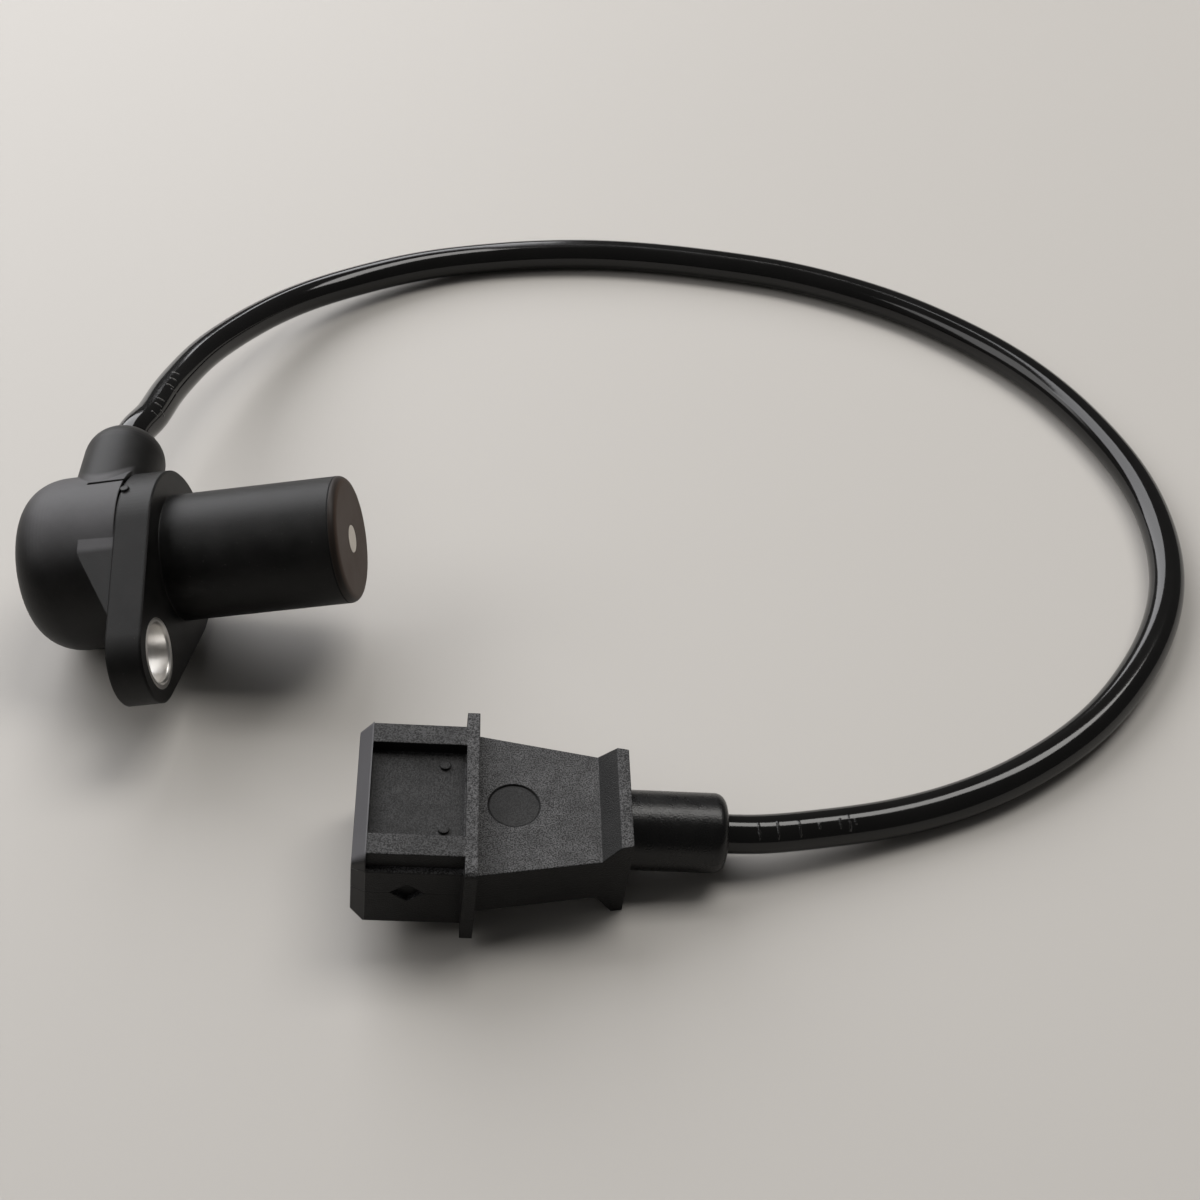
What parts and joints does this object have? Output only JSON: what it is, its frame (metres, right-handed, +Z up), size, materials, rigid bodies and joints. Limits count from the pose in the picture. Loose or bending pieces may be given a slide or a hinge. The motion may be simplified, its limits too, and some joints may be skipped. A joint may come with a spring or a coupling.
{
  "type": "crankshaft position sensor",
  "caption": "Inductive crankshaft position sensor: moulded head with a round barrel and a one-eared flange, a cable and a shrouded plug.",
  "frame": {"origin": "middle of the barrel's root, where its axis meets the flange's seat", "axes": "+Z up from the table that the sensor lies on, +X over the table along the barrel's heading"},
  "size_m": [0.1701, 0.1487, 0.0273],
  "materials": {
    "head_black": "satin black moulding",
    "plug_black": "fine grained black moulding",
    "sheath": "glossy black sheath",
    "sleeve": "satin black",
    "bush_steel": "turned steel",
    "pole_iron": "ground soft iron",
    "bobbin": "pale moulding",
    "copper": "enamelled copper wire",
    "tinned": "tinned strip",
    "core_brown": "brown insulation",
    "core_green": "green insulation"
  },
  "bodies": {
    "root": {"sensor_housing": "head_black", "connector_housing": "plug_black", "cable": "sheath", "strain_relief_sleeve": "sleeve", "flange_bush": "bush_steel", "pole_pin": "pole_iron", "magnet": "pole_iron", "coil_bobbin": "bobbin", "coil_winding": "copper", "lead_terminal_1": "tinned", "lead_terminal_2": "tinned", "splice_tube_1": "tinned", "splice_tube_2": "tinned", "contact_blade_1": "tinned", "contact_blade_2": "tinned", "contact_blade_3": "tinned", "screen_drain": "tinned", "head_core_1": "core_brown", "plug_core_1": "core_brown", "head_core_2": "core_green", "plug_core_2": "core_green"}
  },
  "joints": []
}
